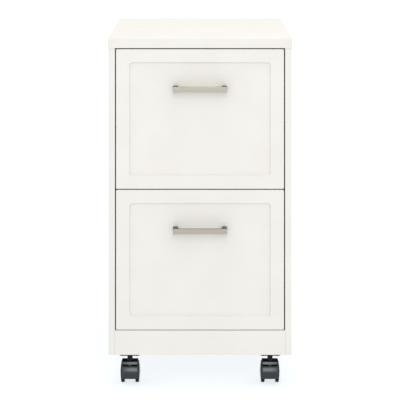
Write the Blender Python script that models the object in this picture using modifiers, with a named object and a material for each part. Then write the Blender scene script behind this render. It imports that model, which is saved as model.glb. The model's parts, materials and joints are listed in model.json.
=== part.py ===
"""Two-drawer mobile filing cabinet: a folded steel case on four twin-wheel casters.

+Z is up, the drawers open towards -Y, and +X is on the right of someone facing them.
The origin is on the floor, below the middle of the box that the whole cabinet fills.
All sizes are in metres. Sheet parts are drawn by their outer face and thickened inwards.
"""

import math

import bmesh
import bpy
from mathutils import Matrix, Vector

# Overall sizes
WIDTH = 0.362
DEPTH = 0.457
CASE_HEIGHT = 0.623

# Sheet steel and fits
SHEET = 0.0007
CHANNEL_SHEET = 0.0012
BEND = 0.0014
BEND_STEPS = 3
GAP = 0.0003
REVEAL = 0.002
FOOT_REVEAL = 0.0012

# Case
LIP = 0.0192
COVER_CORNER = 0.0022
POST_WIDTH = 0.0126
POST_RETURN = 0.010
REAR_FLANGE = 0.014
SIDE_FLANGE = 0.014
RELIEF = 0.0015
KICK_HEIGHT = 0.048
KICK_FLANGE = 0.012
CHANNEL_HEIGHT = 0.014
CHANNEL_WIDTH = 0.050
FLOOR_FLANGE = 0.012
BACK_MARGIN = 0.032
BACK_EMBOSS = 0.002
BACK_CORNER = 0.012

# Drawer fronts
FRONT_DEPTH = 0.016
FRONT_CORNER = 0.0024
STILE = 0.026
RECESS = 0.0034
RECESS_WALL = 0.0021
RECESS_CORNER = 0.0055
BACKING_FLANGE = 0.006
ACCESS_HOLE_RADIUS = 0.006

# Drawer bodies
RAIL_SLOT = 0.002
RAIL_HEM = 0.009
BODY_RISE = 0.012
BODY_HEADROOM = 0.022
BODY_BACK_CLEARANCE = 0.014
BACK_DROP = 0.030
BACK_SIDE_FLANGE = 0.012

# Ball-bearing slides
SLIDE_SHEET = 0.0009
SLIDE_THICKNESS = 0.0127
SLIDE_HALF_HEIGHT = 0.021
SLIDE_LIP = 0.0025
SLIDE_MOUTH = 0.0027
CAGE_EDGE = 0.0018
INNER_HALF_HEIGHT = 0.0135
INNER_REACH = 0.0095
RUNNING_CLEARANCE = 0.001
SLIDE_RISE = 0.105
SLIDE_END_CLEARANCE = 0.012
CAGE_SHEET = 0.0007
CAGE_LENGTH = 0.090
EXTENSION = 0.75
UPRIGHT_WIDTH = 0.022
UPRIGHT_FLANGE = 0.008
UPRIGHT_INSET = 0.032
UPRIGHT_END = 0.006

# Handles
HANDLE_CENTRES = 0.096
HANDLE_THICKNESS = 0.0098
HANDLE_HEIGHT = 0.0097
HANDLE_BAR = 0.008
HANDLE_REACH = 0.027
HANDLE_DROP = 0.077
HANDLE_ROUND = 0.0009
SCREW_RADIUS = 0.002
SCREW_HEAD_RADIUS = 0.0042
SCREW_HEAD = 0.0026
SCREW_HEAD_EDGE = 0.0016
SCREW_HEAD_FLAT = 0.0025
SCREW_BITE = 0.010

# Casters
WHEEL_RADIUS = 0.021
WHEEL_INNER = 0.0107
WHEEL_TREAD = 0.0069
WHEEL_DOME = 0.0021
WHEEL_EDGE = 0.0006
DOME_SHAPE = ((0.55, 0.86), (0.88, 0.4))  # radius and height, as parts of the wheel's and the dome's
AXLE_RADIUS = 0.0024
HOOD_CLEARANCE = 0.0014
HOOD_WALL = 0.0016
HOOD_HALF_WIDTH = 0.0162
HOOD_LOW_ANGLE = -22.0
HOOD_BACK_ANGLE = 128.0
DECK_RISE = 0.0008
DECK_FRONT = 0.0215
DECK_BACK = 0.003
DECK_THICKNESS = 0.0055
DECK_ROUND = 0.0012
STEM_BOSS_RADIUS = 0.0056
WEB_HALF = 0.0034
AXLE_BOSS_RADIUS = 0.0052
TRAIL = 0.0125
NECK_RADIUS = 0.0052
NECK_LENGTH = 0.015
KINGPIN_RADIUS = 0.0035
KINGPIN_DEPTH = 0.015
PIN_FIT = 0.0004
PLATE_SIDE = 0.0392
PLATE_THICKNESS = 0.0025
PLATE_CORNER = 0.004
PLATE_HOLE_RADIUS = 0.0022
PLATE_HOLE_CENTRES = 0.028
CASTER_SIDE_INSET = 0.0423
CASTER_FRONT_INSET = 0.0235
CASTER_REAR_INSET = 0.044
ROUND_SEGMENTS = 32
PIN_SEGMENTS = 16
HOOD_STEPS = 15
HOLE_SEGMENTS = 12

# Levels and planes that follow from the sizes above
HOOD_INNER = WHEEL_RADIUS + HOOD_CLEARANCE
HOOD_OUTER = HOOD_INNER + HOOD_WALL
DECK_TOP = WHEEL_RADIUS + HOOD_OUTER + DECK_RISE
BASE = DECK_TOP + NECK_LENGTH + PLATE_THICKNESS + GAP
TOP = BASE + CASE_HEIGHT
LAP = SHEET + GAP
FACE_SETBACK = LAP
HALF_CASE = WIDTH / 2 - LAP
CASE_INSIDE = HALF_CASE - SHEET
HALF_OPENING = HALF_CASE - POST_WIDTH
HALF_BETWEEN_FLANGES = HALF_CASE - SIDE_FLANGE
HANDLE_OUT = HANDLE_REACH - RECESS - FACE_SETBACK
FRONT_Y = (HANDLE_OUT - DEPTH) / 2
FACE_Y = FRONT_Y + FACE_SETBACK
BACK_Y = FRONT_Y + DEPTH - LAP
REAR_FLANGE_Y = BACK_Y - LAP
KICK_TOP = BASE + KICK_HEIGHT
LIP_BOTTOM = TOP - LIP
FLOOR_LEVEL = BASE + CHANNEL_HEIGHT + GAP
FRONT_HALF = HALF_OPENING - REVEAL
FRONT_HEIGHT = (LIP_BOTTOM - KICK_TOP - FOOT_REVEAL - 2 * REVEAL) / 2
LOWER_FOOT = KICK_TOP + FOOT_REVEAL
UPPER_FOOT = LOWER_FOOT + FRONT_HEIGHT + REVEAL
FRONT_REAR_Y = FACE_Y + FRONT_DEPTH
BODY_HALF = HALF_OPENING - RUNNING_CLEARANCE - INNER_REACH - GAP
BODY_HEIGHT = FRONT_HEIGHT - BODY_RISE - BODY_HEADROOM
BODY_FRONT_Y = FRONT_REAR_Y + GAP
BODY_REAR_Y = REAR_FLANGE_Y - SHEET - BACK_EMBOSS - BODY_BACK_CLEARANCE
SLIDE_FRONT_Y = FRONT_REAR_Y + RUNNING_CLEARANCE
SLIDE_REAR_Y = BODY_REAR_Y - SLIDE_END_CLEARANCE
SLIDE_LENGTH = SLIDE_REAR_Y - SLIDE_FRONT_Y
TRAVEL = EXTENSION * SLIDE_LENGTH
SLIDE_BACK = BODY_HALF + SLIDE_THICKNESS

WHITE = ("powder_coat", (0.90, 0.88, 0.83), 0.45, 0.0)
NICKEL = ("brushed_nickel", (0.62, 0.60, 0.55), 0.32, 1.0)
ZINC = ("zinc_plate", (0.60, 0.61, 0.62), 0.35, 1.0)
BLACK = ("black_nylon", (0.02, 0.02, 0.022), 0.25, 0.0)

DRAWERS = (("lower", LOWER_FOOT), ("upper", UPPER_FOOT))
SIDES = (("left", -1), ("right", 1))


def clear_scene():
    for old in list(bpy.data.objects):
        bpy.data.objects.remove(old)


def collection(name):
    made = bpy.data.collections.new(name)
    bpy.context.scene.collection.children.link(made)
    return made


def finish_of(finish):
    """The Principled material of one finish, made once and shared."""
    name, colour, roughness, metallic = finish
    made = bpy.data.materials.get(name)
    if made is None:
        made = bpy.data.materials.new(name)
        made.use_nodes = True
        shader = made.node_tree.nodes["Principled BSDF"]
        shader.inputs["Base Color"].default_value = (*colour, 1.0)
        shader.inputs["Roughness"].default_value = roughness
        shader.inputs["Metallic"].default_value = metallic
    return made


def add_part(name, mesh, finish):
    mesh.materials.clear()
    mesh.materials.append(finish_of(finish))
    made = bpy.data.objects.new(name, mesh)
    PARTS.objects.link(made)
    return made


def add_helper(name, mesh):
    """An object that only cuts or joins another one."""
    made = bpy.data.objects.new(name, mesh)
    HELPERS.objects.link(made)
    made.hide_render = True
    made.display_type = "WIRE"
    return made


def joint_centre(name, place):
    """An empty on a joint's axis, which carries the pieces that move with that joint."""
    made = bpy.data.objects.new(name, None)
    made.location = place
    PARTS.objects.link(made)
    return made


def hang(centre, *pieces):
    for piece in pieces:
        piece.parent = centre
        piece.matrix_parent_inverse = Matrix.Translation(centre.location).inverted()


def combine(target, tool, operation):
    modifier = target.modifiers.new(operation.lower(), "BOOLEAN")
    modifier.operation = operation
    modifier.object = tool


def smooth_round(mesh):
    mesh.shade_smooth()
    mesh.set_sharp_from_angle(angle=math.radians(35))


def to_mesh(name, bm):
    mesh = bpy.data.meshes.new(name)
    bm.to_mesh(mesh)
    bm.free()
    return mesh


def arc(centre, radius, first, last, steps):
    """Points on an arc, by angle in degrees."""
    angles = [math.radians(first + (last - first) * i / steps) for i in range(steps + 1)]
    return [(centre[0] + radius * math.cos(a), centre[1] + radius * math.sin(a)) for a in angles]


def bent(path, radius=BEND, steps=BEND_STEPS):
    """An open path of straight runs with each inner corner turned into a bend."""
    points = [Vector(p) for p in path]
    rounded = [points[0]]
    for before, corner, after in zip(points, points[1:], points[2:]):
        back = (before - corner).normalized()
        on = (after - corner).normalized()
        half = back.angle(on) / 2
        reach = min(radius / math.tan(half), (before - corner).length / 2, (after - corner).length / 2)
        start = corner + back * reach
        centre = corner + (back + on).normalized() * reach / math.cos(half)
        turn = (corner + on * reach - centre).angle_signed(start - centre)
        for i in range(steps + 1):
            rounded.append(centre + Matrix.Rotation(turn * i / steps, 2) @ (start - centre))
    return [tuple(p) for p in rounded + [points[-1]]]


def rounded_rectangle(half_u, half_v, radius, steps=4):
    corners = ((1, 1, 0), (-1, 1, 90), (-1, -1, 180), (1, -1, 270))
    return [
        p
        for u, v, angle in corners
        for p in arc((u * (half_u - radius), v * (half_v - radius)), radius, angle, angle + 90, steps)
    ]


def in_space(u, v, along, w):
    """A point drawn in the plane across an axis: XY across Z, YZ across X, XZ across Y."""
    return {"Z": (u, v, w), "X": (w, u, v), "Y": (u, w, v)}[along]


def thicken(made, thickness):
    modifier = made.modifiers.new("thickness", "SOLIDIFY")
    modifier.thickness = thickness
    modifier.offset = -1
    modifier.use_even_offset = True


def face_out(bm, face, outward):
    """Turns every face round if this one doesn't face outward."""
    bm.normal_update()
    if face.normal.dot(Vector(outward)) < 0:
        bmesh.ops.reverse_faces(bm, faces=bm.faces)


def folded_surface(section, along, start, end):
    """A section drawn as a path, drawn out along an axis. Its left side is the inside."""
    bm = bmesh.new()
    points = [bm.verts.new(in_space(u, v, along, start)) for u, v in section]
    edges = [bm.edges.new(pair) for pair in zip(points, points[1:])]
    drawn = bmesh.ops.extrude_edge_only(bm, edges=edges)["geom"]
    shift = Vector(in_space(0, 0, along, end - start))
    bmesh.ops.translate(bm, verts=[v for v in drawn if isinstance(v, bmesh.types.BMVert)], vec=shift)
    du, dv = (section[1][0] - section[0][0], section[1][1] - section[0][1])
    first = next(f for f in bm.faces if points[0] in f.verts)
    face_out(bm, first, in_space(dv, -du, along, 0))
    return bm


def folded_sheet(name, section, along, start, end, finish=WHITE, thickness=SHEET):
    made = add_part(name, to_mesh(name, folded_surface(section, along, start, end)), finish)
    thicken(made, thickness)
    return made


def pressed_sheet(name, loops, along, centre, outward, finish=WHITE, thickness=SHEET):
    """A pressed panel. Loops are (half width, half height, corner radius, level), rim first."""
    bm = bmesh.new()
    rings = []
    for half_u, half_v, radius, level in loops:
        outline = rounded_rectangle(half_u, half_v, radius)
        rings.append(
            [bm.verts.new(in_space(centre[0] + u, centre[1] + v, along, level)) for u, v in outline]
        )
    for outer, inner in zip(rings, rings[1:]):
        for a, b, c, d in zip(outer, outer[1:] + outer[:1], inner[1:] + inner[:1], inner):
            bm.faces.new((a, b, c, d))
    floor = bm.faces.new(rings[-1])
    bmesh.ops.recalc_face_normals(bm, faces=bm.faces)
    face_out(bm, floor, outward)
    made = add_part(name, to_mesh(name, bm), finish)
    thicken(made, thickness)
    return made


def bend_loops(half_u, half_v, corner, rim, face, inward):
    """The loops of a rim that bends into a face. Inward is the face's direction from the rim."""
    loops = [(half_u, half_v, corner, rim)]
    for across, down in arc((0, 0), BEND, 0, 90, BEND_STEPS):
        inset = BEND - across
        radius = max(corner - inset, corner / 3)
        loops.append((half_u - inset, half_v - inset, radius, face - inward * (BEND - down)))
    return loops


def cylinder_mesh(name, radius, length, along, centre, segments=PIN_SEGMENTS):
    bm = bmesh.new()
    bmesh.ops.create_cone(
        bm, cap_ends=True, segments=segments, radius1=radius, radius2=radius, depth=length
    )
    turns = {
        "Z": Matrix.Identity(4),
        "X": Matrix.Rotation(math.pi / 2, 4, "Y"),
        "Y": Matrix.Rotation(math.pi / 2, 4, "X"),
    }
    bmesh.ops.transform(bm, matrix=Matrix.Translation(centre) @ turns[along], verts=bm.verts)
    mesh = to_mesh(name, bm)
    smooth_round(mesh)
    return mesh


def box_mesh(name, low, high, rounding=0.0, steps=2, only_along=None):
    """A box between two corners, with its edges, or only those along an axis, rounded."""
    bm = bmesh.new()
    low, high = Vector(low), Vector(high)
    size = Matrix.Diagonal((*(high - low), 1))
    bmesh.ops.create_cube(bm, size=1, matrix=Matrix.Translation((low + high) / 2) @ size)
    edges = list(bm.edges)
    if only_along is not None:
        run = Vector(in_space(0, 0, only_along, 1))
        edges = [e for e in edges if abs((e.verts[0].co - e.verts[1].co).normalized().dot(run)) > 0.9]
    if rounding:
        bmesh.ops.bevel(bm, geom=edges, offset=rounding, segments=steps, affect="EDGES", profile=0.5)
    return to_mesh(name, bm)


def outline_mesh(name, outline, thickness, along="Z", level=0.0):
    """A flat outline given a thickness across an axis, centred on a level."""
    curve = bpy.data.curves.new(name, "CURVE")
    curve.dimensions = "2D"
    curve.fill_mode = "BOTH"
    curve.extrude = thickness / 2
    spline = curve.splines.new("POLY")
    spline.points.add(len(outline) - 1)
    for point, (u, v) in zip(spline.points, outline):
        point.co = (u, v, 0, 1)
    spline.use_cyclic_u = True
    holder = bpy.data.objects.new(name, curve)
    bpy.context.scene.collection.objects.link(holder)
    graph = bpy.context.evaluated_depsgraph_get()
    mesh = bpy.data.meshes.new_from_object(holder.evaluated_get(graph))
    bpy.data.objects.remove(holder)
    bm = bmesh.new()
    bm.from_mesh(mesh)
    bpy.data.meshes.remove(mesh)
    bmesh.ops.remove_doubles(bm, verts=bm.verts, dist=1e-6)
    for vert in bm.verts:
        u, v, w = vert.co
        vert.co = in_space(u, v, along, w + level)
    bmesh.ops.recalc_face_normals(bm, faces=bm.faces)
    return to_mesh(name, bm)


def turned_part(name, profile, finish, segments, matrix):
    """A profile of (radius, height), from the top down the outer side, turned round Z."""
    bm = bmesh.new()
    points = [bm.verts.new((radius, 0, height)) for radius, height in profile]
    for pair in zip(points, points[1:]):
        bm.edges.new(pair)
    made = add_part(name, to_mesh(name, bm), finish)
    made.matrix_world = matrix
    screw = made.modifiers.new("turned", "SCREW")
    screw.steps = segments
    screw.render_steps = segments
    screw.use_merge_vertices = True
    screw.merge_threshold = 0.00001
    return made


# Case


def make_top_cover():
    loops = bend_loops(WIDTH / 2, DEPTH / 2, COVER_CORNER, LIP_BOTTOM, TOP, 1)
    pressed_sheet("top_cover", loops, "Z", (0, FRONT_Y + DEPTH / 2), (0, 0, 1))


def make_side_panel(side, sign):
    """The return, post, web and rear flange in one sheet, with a flange at its top and foot."""
    top = TOP - LAP
    section = bent(
        [
            (HALF_OPENING, FACE_Y + POST_RETURN),
            (HALF_OPENING, FACE_Y),
            (HALF_CASE, FACE_Y),
            (HALF_CASE, REAR_FLANGE_Y),
            (HALF_CASE - REAR_FLANGE, REAR_FLANGE_Y),
        ]
    )
    bm = folded_surface(section, "Z", BASE, top)
    flange_front = FACE_Y + POST_RETURN + RELIEF
    flange_rear = REAR_FLANGE_Y - SHEET - RELIEF
    for y in (flange_front, flange_rear):
        everything = list(bm.verts) + list(bm.edges) + list(bm.faces)
        web = [e for e in everything if min(v.co.x for v in verts_of(e)) > HALF_CASE - SHEET / 2]
        bmesh.ops.bisect_plane(bm, geom=web, plane_co=(0, y, 0), plane_no=(0, 1, 0))
    for level in (BASE, top):
        edges = [
            e
            for e in bm.edges
            if all(abs(v.co.z - level) < GAP and v.co.x > HALF_CASE - SHEET / 2 for v in e.verts)
            and flange_front < sum(v.co.y for v in e.verts) / 2 < flange_rear
        ]
        drawn = bmesh.ops.extrude_edge_only(bm, edges=edges)["geom"]
        corners = [v for v in drawn if isinstance(v, bmesh.types.BMVert)]
        bmesh.ops.translate(bm, verts=corners, vec=(-SIDE_FLANGE, 0, 0))
    bmesh.ops.recalc_face_normals(bm, faces=bm.faces)
    web_face = max(bm.faces, key=lambda f: f.calc_area())
    face_out(bm, web_face, (1, 0, 0))
    if sign < 0:
        bmesh.ops.scale(bm, vec=(-1, 1, 1), verts=bm.verts)
        bmesh.ops.reverse_faces(bm, faces=bm.faces)
    name = f"side_panel_{side}"
    thicken(add_part(name, to_mesh(name, bm), WHITE), SHEET)


def verts_of(element):
    return [element] if isinstance(element, bmesh.types.BMVert) else element.verts


def make_kick_panel():
    section = [(FACE_Y + KICK_FLANGE, KICK_TOP), (FACE_Y, KICK_TOP), (FACE_Y, BASE)]
    half = HALF_OPENING - GAP
    folded_sheet("kick_panel", bent(section), "X", -half, half)


def make_back_panel():
    half_height = (LIP_BOTTOM - GAP - BASE) / 2
    inner_u, inner_v = HALF_CASE - BACK_MARGIN, half_height - BACK_MARGIN
    slope = 2 * BACK_EMBOSS
    loops = [
        (HALF_CASE, half_height, BEND, BACK_Y),
        (inner_u, inner_v, BACK_CORNER, BACK_Y),
        (inner_u - slope, inner_v - slope, BACK_CORNER - slope, BACK_Y - BACK_EMBOSS),
    ]
    pressed_sheet("back_panel", loops, "Y", (0, BASE + half_height), (0, 1, 0))


def make_floor_panel():
    half = CASE_INSIDE - GAP
    rim = FLOOR_LEVEL + FLOOR_FLANGE
    section = [(-half, rim), (-half, FLOOR_LEVEL), (half, FLOOR_LEVEL), (half, rim)]
    front = FACE_Y + POST_RETURN + GAP
    folded_sheet("floor_panel", bent(section), "Y", front, REAR_FLANGE_Y - LAP)


def make_caster_channel(end, front, half):
    rim = BASE + CHANNEL_HEIGHT
    rear = front + CHANNEL_WIDTH
    section = [(front, rim), (front, BASE), (rear, BASE), (rear, rim)]
    name = f"caster_channel_{end}"
    folded_sheet(name, bent(section), "X", -half, half, thickness=CHANNEL_SHEET)


def make_upright(end, front, side, sign):
    """A hat section that carries the slides clear of the side panel."""
    back = CASE_INSIDE - GAP
    crown = SLIDE_BACK + GAP + SHEET
    rear = front + 2 * UPRIGHT_FLANGE + UPRIGHT_WIDTH
    section = [
        (back, front),
        (back, front + UPRIGHT_FLANGE),
        (crown, front + UPRIGHT_FLANGE),
        (crown, rear - UPRIGHT_FLANGE),
        (back, rear - UPRIGHT_FLANGE),
        (back, rear),
    ]
    if sign < 0:
        section = [(-x, y) for x, y in reversed(section)]
    low = FLOOR_LEVEL + FLOOR_FLANGE + UPRIGHT_END
    folded_sheet(f"upright_{end}_{side}", section, "Z", low, LIP_BOTTOM - UPRIGHT_END)


# Slides


def mirrored(section, sign):
    """A section drawn for the right-hand side, or its mirror image with the same inside."""
    return section if sign > 0 else [(-u, v) for u, v in reversed(section)]


def make_slides(drawer, side, sign, level):
    """The outer member on the case. It returns the ball cage and the member on the drawer."""
    high, low = level + SLIDE_HALF_HEIGHT, level - SLIDE_HALF_HEIGHT
    mouth = BODY_HALF + SLIDE_MOUTH
    outer = [
        (mouth, low + SLIDE_LIP),
        (mouth, low),
        (SLIDE_BACK, low),
        (SLIDE_BACK, high),
        (mouth, high),
        (mouth, high - SLIDE_LIP),
    ]
    span = (SLIDE_FRONT_Y, SLIDE_REAR_Y)
    name = f"slide_outer_{drawer}_{side}"
    folded_sheet(name, mirrored(outer, sign), "Y", *span, finish=ZINC, thickness=SLIDE_SHEET)

    web = BODY_HALF + GAP
    tip = web + INNER_REACH
    inner = [
        (tip, level + INNER_HALF_HEIGHT),
        (web, level + INNER_HALF_HEIGHT),
        (web, level - INNER_HALF_HEIGHT),
        (tip, level - INNER_HALF_HEIGHT),
    ]
    name = f"slide_inner_{drawer}_{side}"
    runner = folded_sheet(
        name, mirrored(inner, sign), "Y", *span, finish=ZINC, thickness=SLIDE_SHEET
    )

    back = SLIDE_BACK - SLIDE_SHEET - (SLIDE_BACK - SLIDE_SHEET - tip - CAGE_SHEET) / 2
    race = (SLIDE_HALF_HEIGHT - SLIDE_SHEET + INNER_HALF_HEIGHT + CAGE_SHEET) / 2
    edge = mouth + CAGE_EDGE
    cage = [
        (edge, level - race),
        (back, level - race),
        (back, level + race),
        (edge, level + race),
    ]
    front = SLIDE_FRONT_Y + TRAVEL / 2 + RUNNING_CLEARANCE
    name = f"ball_cage_{drawer}_{side}"
    balls = folded_sheet(
        name, mirrored(cage, sign), "Y", front, front + CAGE_LENGTH, ZINC, thickness=CAGE_SHEET
    )
    return balls, runner


# Drawers


def make_drawer_front(drawer, foot):
    middle = foot + FRONT_HEIGHT / 2
    half_height = FRONT_HEIGHT / 2
    recess = (FRONT_HALF - STILE, half_height - STILE)
    loops = bend_loops(FRONT_HALF, half_height, FRONT_CORNER, FRONT_REAR_Y, FACE_Y, -1)
    loops.append((*recess, RECESS_CORNER, FACE_Y))
    floor = [r - RECESS_WALL for r in recess]
    loops.append((*floor, RECESS_CORNER - RECESS_WALL, FACE_Y + RECESS))
    front = pressed_sheet(f"drawer_front_{drawer}", loops, "Y", (0, middle), (0, -1, 0))

    inset = SHEET + GAP
    rim_y = FRONT_REAR_Y - BACKING_FLANGE
    loops = bend_loops(
        FRONT_HALF - inset, half_height - inset, FRONT_CORNER, rim_y, FRONT_REAR_Y, 1
    )
    backing = pressed_sheet(f"front_backing_{drawer}", loops, "Y", (0, middle), (0, 1, 0))

    level = handle_level(foot)
    for x in (-HANDLE_CENTRES / 2, HANDLE_CENTRES / 2):
        hole = cylinder_mesh(
            "screw_hole", SCREW_RADIUS + PIN_FIT, 4 * RECESS, "Y", (x, FACE_Y + RECESS, level)
        )
        combine(front, add_helper(f"screw_hole_{drawer}", hole), "DIFFERENCE")
        way_in = cylinder_mesh(
            "access_hole", ACCESS_HOLE_RADIUS, 4 * RECESS, "Y", (x, FRONT_REAR_Y, level)
        )
        combine(backing, add_helper(f"access_hole_{drawer}", way_in), "DIFFERENCE")
    return front, backing


def handle_level(foot):
    return foot + FRONT_HEIGHT - HANDLE_DROP


def make_handle(drawer, foot):
    """A bar and its two feet in one casting, with a blind hole in each foot for its screw."""
    level = handle_level(foot)
    foot_y = FACE_Y + RECESS - GAP
    tip_y = FACE_Y + RECESS - HANDLE_REACH
    inside = (HANDLE_CENTRES - HANDLE_THICKNESS) / 2
    outside = inside + HANDLE_THICKNESS
    grip_y = tip_y + HANDLE_BAR
    outline = [
        (-outside, foot_y),
        (-outside, tip_y),
        (outside, tip_y),
        (outside, foot_y),
        (inside, foot_y),
        (inside, grip_y),
        (-inside, grip_y),
        (-inside, foot_y),
    ]
    name = f"handle_{drawer}"
    handle = add_part(name, outline_mesh(name, outline, HANDLE_HEIGHT, level=level), NICKEL)
    edges = handle.modifiers.new("edges", "BEVEL")
    edges.width = HANDLE_ROUND
    edges.segments = 2
    edges.limit_method = "ANGLE"
    made = [handle]
    for place, x in (("left", -HANDLE_CENTRES / 2), ("right", HANDLE_CENTRES / 2)):
        depth = SCREW_BITE + GAP
        hole = cylinder_mesh("tap", SCREW_RADIUS + PIN_FIT, 2 * depth, "Y", (x, foot_y, level))
        combine(handle, add_helper(f"tapped_hole_{drawer}_{place}", hole), "DIFFERENCE")
        head_y = FACE_Y + RECESS + SHEET + GAP
        tip = head_y - (foot_y - SCREW_BITE)
        profile = [
            (0, tip),
            (SCREW_RADIUS, tip),
            (SCREW_RADIUS, 0),
            (SCREW_HEAD_RADIUS, 0),
            (SCREW_HEAD_RADIUS, -SCREW_HEAD_EDGE),
            (SCREW_HEAD_FLAT, -SCREW_HEAD),
            (0, -SCREW_HEAD),
        ]
        matrix = Matrix.Translation((x, head_y, level)) @ Matrix.Rotation(math.pi / 2, 4, "X")
        name = f"handle_screw_{drawer}_{place}"
        made.append(turned_part(name, profile, ZINC, PIN_SEGMENTS, matrix))
    return made


def make_drawer_body(drawer, foot):
    """The bottom and both sides in one sheet, its top edges rolled into rails for folders."""
    bottom = foot + BODY_RISE
    rim = bottom + BODY_HEIGHT
    roll = BODY_HALF + RAIL_SLOT
    section = [
        (-roll, rim - RAIL_HEM),
        (-roll, rim),
        (-BODY_HALF, rim),
        (-BODY_HALF, bottom),
        (BODY_HALF, bottom),
        (BODY_HALF, rim),
        (roll, rim),
        (roll, rim - RAIL_HEM),
    ]
    body = folded_sheet(f"drawer_body_{drawer}", section, "Y", BODY_FRONT_Y, BODY_REAR_Y)

    half = BODY_HALF - SHEET - GAP
    rear = BODY_REAR_Y - GAP
    section = [(half, rear - BACK_SIDE_FLANGE), (half, rear), (-half, rear)]
    section.append((-half, rear - BACK_SIDE_FLANGE))
    low = bottom + SHEET + GAP
    back = folded_sheet(f"drawer_back_{drawer}", bent(section), "Z", low, rim - BACK_DROP)
    return body, back


def make_drawer(drawer, foot):
    """A whole drawer on its slides. Its front, body, handle and runners move as one."""
    centre = joint_centre(f"{drawer}_drawer", (0, FACE_Y, foot + FRONT_HEIGHT / 2))
    cages = joint_centre(f"{drawer}_ball_cages", (0, FACE_Y, foot + SLIDE_RISE))
    hang(centre, *make_drawer_front(drawer, foot), *make_handle(drawer, foot))
    hang(centre, *make_drawer_body(drawer, foot))
    for side, sign in SIDES:
        balls, runner = make_slides(drawer, side, sign, foot + SLIDE_RISE)
        hang(cages, balls)
        hang(centre, runner)


# Casters


def caster_places():
    """(end, side, x, y) of each caster's swivel axis."""
    x = WIDTH / 2 - CASTER_SIDE_INSET
    ends = (
        ("front", FRONT_Y + CASTER_FRONT_INSET),
        ("rear", FRONT_Y + DEPTH - CASTER_REAR_INSET),
    )
    return [(end, side, sign * x, y) for end, y in ends for side, sign in SIDES]


def make_caster_plate(name, x, y):
    """The square plate with the kingpin riveted in it."""
    top = BASE - GAP
    foot = top - PLATE_THICKNESS
    half = PLATE_SIDE / 2
    low, high = (x - half, y - half, foot), (x + half, y + half, top)
    plate = add_part(name, box_mesh(name, low, high, PLATE_CORNER, 3, only_along="Z"), BLACK)
    overlap = PLATE_THICKNESS / 2
    neck = (DECK_TOP + GAP, foot + overlap)
    pin = (DECK_TOP - KINGPIN_DEPTH, DECK_TOP + overlap)
    for label, radius, (lower, upper) in (
        ("neck", NECK_RADIUS, neck),
        ("kingpin", KINGPIN_RADIUS, pin),
    ):
        centre = (x, y, (lower + upper) / 2)
        shaft = cylinder_mesh(label, radius, upper - lower, "Z", centre)
        combine(plate, add_helper(f"{label}_{name}", shaft), "UNION")
    reach = PLATE_HOLE_CENTRES / 2
    for dx in (-reach, reach):
        for dy in (-reach, reach):
            centre = (x + dx, y + dy, (foot + top) / 2)
            hole = cylinder_mesh(
                "hole", PLATE_HOLE_RADIUS, 3 * PLATE_THICKNESS, "Z", centre, HOLE_SEGMENTS
            )
            combine(plate, add_helper(f"hole_{name}", hole), "DIFFERENCE")


def hood_arc(axle, radius, inset=0):
    """An arc round the axle over both wheels, each end drawn in by an angle.

    The angles run from straight ahead (-Y) over the top, so they are taken from 180 degrees.
    """
    return arc(
        axle, radius, 180 - HOOD_LOW_ANGLE - inset, 180 - HOOD_BACK_ANGLE + inset, HOOD_STEPS
    )


def make_deck(name, x, axle):
    """The flat deck on top of the hood, cut clear of the wheels."""
    low = (x - HOOD_HALF_WIDTH + GAP, axle[0] - DECK_FRONT, DECK_TOP - DECK_THICKNESS)
    high = (x + HOOD_HALF_WIDTH - GAP, axle[0] + DECK_BACK, DECK_TOP)
    deck = add_helper(f"deck_{name}", box_mesh("deck", low, high, DECK_ROUND, 3))
    radius = (HOOD_INNER + HOOD_OUTER) / 2
    hollow = cylinder_mesh("hollow", radius, 3 * HOOD_HALF_WIDTH, "X", (x, *axle), ROUND_SEGMENTS)
    combine(deck, add_helper(f"hollow_{name}", hollow), "DIFFERENCE")
    return deck


def make_caster_hood(name, x, y):
    """The hood over both wheels, with the web, the axle boss and the stem boss between them."""
    axle = (y + TRAIL, WHEEL_RADIUS)
    shell = hood_arc(axle, HOOD_OUTER) + hood_arc(axle, HOOD_INNER)[::-1]
    mesh = outline_mesh(name, shell, 2 * HOOD_HALF_WIDTH, "X", x)
    smooth_round(mesh)
    hood = add_part(name, mesh, BLACK)
    web = [axle] + hood_arc(axle, (HOOD_INNER + HOOD_OUTER) / 2, 2)
    boss_foot = WHEEL_RADIUS - AXLE_BOSS_RADIUS
    boss_top = DECK_TOP - GAP
    stem_centre = (x, y, (boss_foot + boss_top) / 2)
    axle_length = 2 * (WHEEL_INNER - RUNNING_CLEARANCE)
    added = {
        "web": outline_mesh("web", web, 2 * WEB_HALF, "X", x),
        "axle_boss": cylinder_mesh("boss", AXLE_BOSS_RADIUS, axle_length, "X", (x, *axle)),
        "stem_boss": cylinder_mesh("boss", STEM_BOSS_RADIUS, boss_top - boss_foot, "Z", stem_centre),
    }
    combine(hood, make_deck(name, x, axle), "UNION")
    for label, mesh in added.items():
        combine(hood, add_helper(f"{label}_{name}", mesh), "UNION")
    bore_length = 2 * (KINGPIN_DEPTH + RUNNING_CLEARANCE)
    removed = {
        "bore": cylinder_mesh("bore", KINGPIN_RADIUS + PIN_FIT, bore_length, "Z", (x, y, DECK_TOP)),
        "axle_hole": cylinder_mesh("hole", AXLE_RADIUS + PIN_FIT, 3 * WHEEL_INNER, "X", (x, *axle)),
    }
    for label, mesh in removed.items():
        combine(hood, add_helper(f"{label}_{name}", mesh), "DIFFERENCE")
    return hood


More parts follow.
